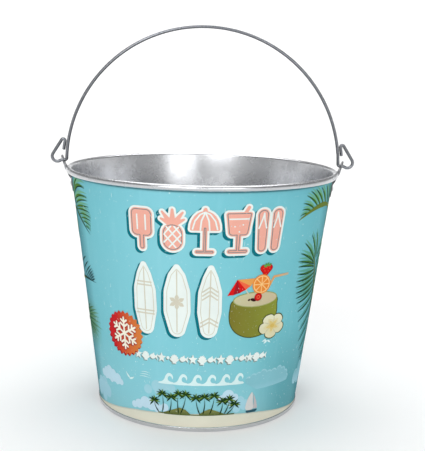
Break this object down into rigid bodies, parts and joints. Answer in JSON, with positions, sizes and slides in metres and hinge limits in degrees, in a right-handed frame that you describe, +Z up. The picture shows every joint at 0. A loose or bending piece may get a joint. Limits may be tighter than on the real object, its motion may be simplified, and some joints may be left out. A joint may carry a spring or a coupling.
{
  "type": "ice bucket",
  "caption": "Round tapered printed-metal ice bucket with a rolled rim, a seamed floor, riveted ears and a swinging wire bail with closed teardrop hooks.",
  "frame": {"origin": "centre of the resting plane under the floor seam", "axes": "+Z up along the bucket's axis; +X through the right ear, along the bail's pivot; the printed front faces -Y"},
  "size_m": [0.256, 0.228, 0.3183],
  "materials": {
    "printed_tinplate": "satin litho print on tinplate",
    "bare_tinplate": "bare satin tinplate",
    "rim_steel": "drawn steel wire",
    "ear_steel": "pressed steel, lightly dulled",
    "rivet_steel": "bright rivet steel",
    "bail_wire": "drawn steel wire with a galvanised grey"
  },
  "bodies": {
    "bucket": {"side_wall": "printed_tinplate", "rim_wire": "rim_steel", "base_pan": "bare_tinplate", "left_ear": "ear_steel", "right_ear": "ear_steel", "left_front_rivet": "rivet_steel", "left_rear_rivet": "rivet_steel", "right_front_rivet": "rivet_steel", "right_rear_rivet": "rivet_steel"},
    "bail": {"bail": "bail_wire"}
  },
  "joints": [
    {"name": "bail_swing", "type": "hinge", "parent": "bucket", "child": "bail", "pos_m": [0, 0, 0.2044], "axis": [1, 0, 0], "range_deg": [-90.5, 90.5]}
  ]
}
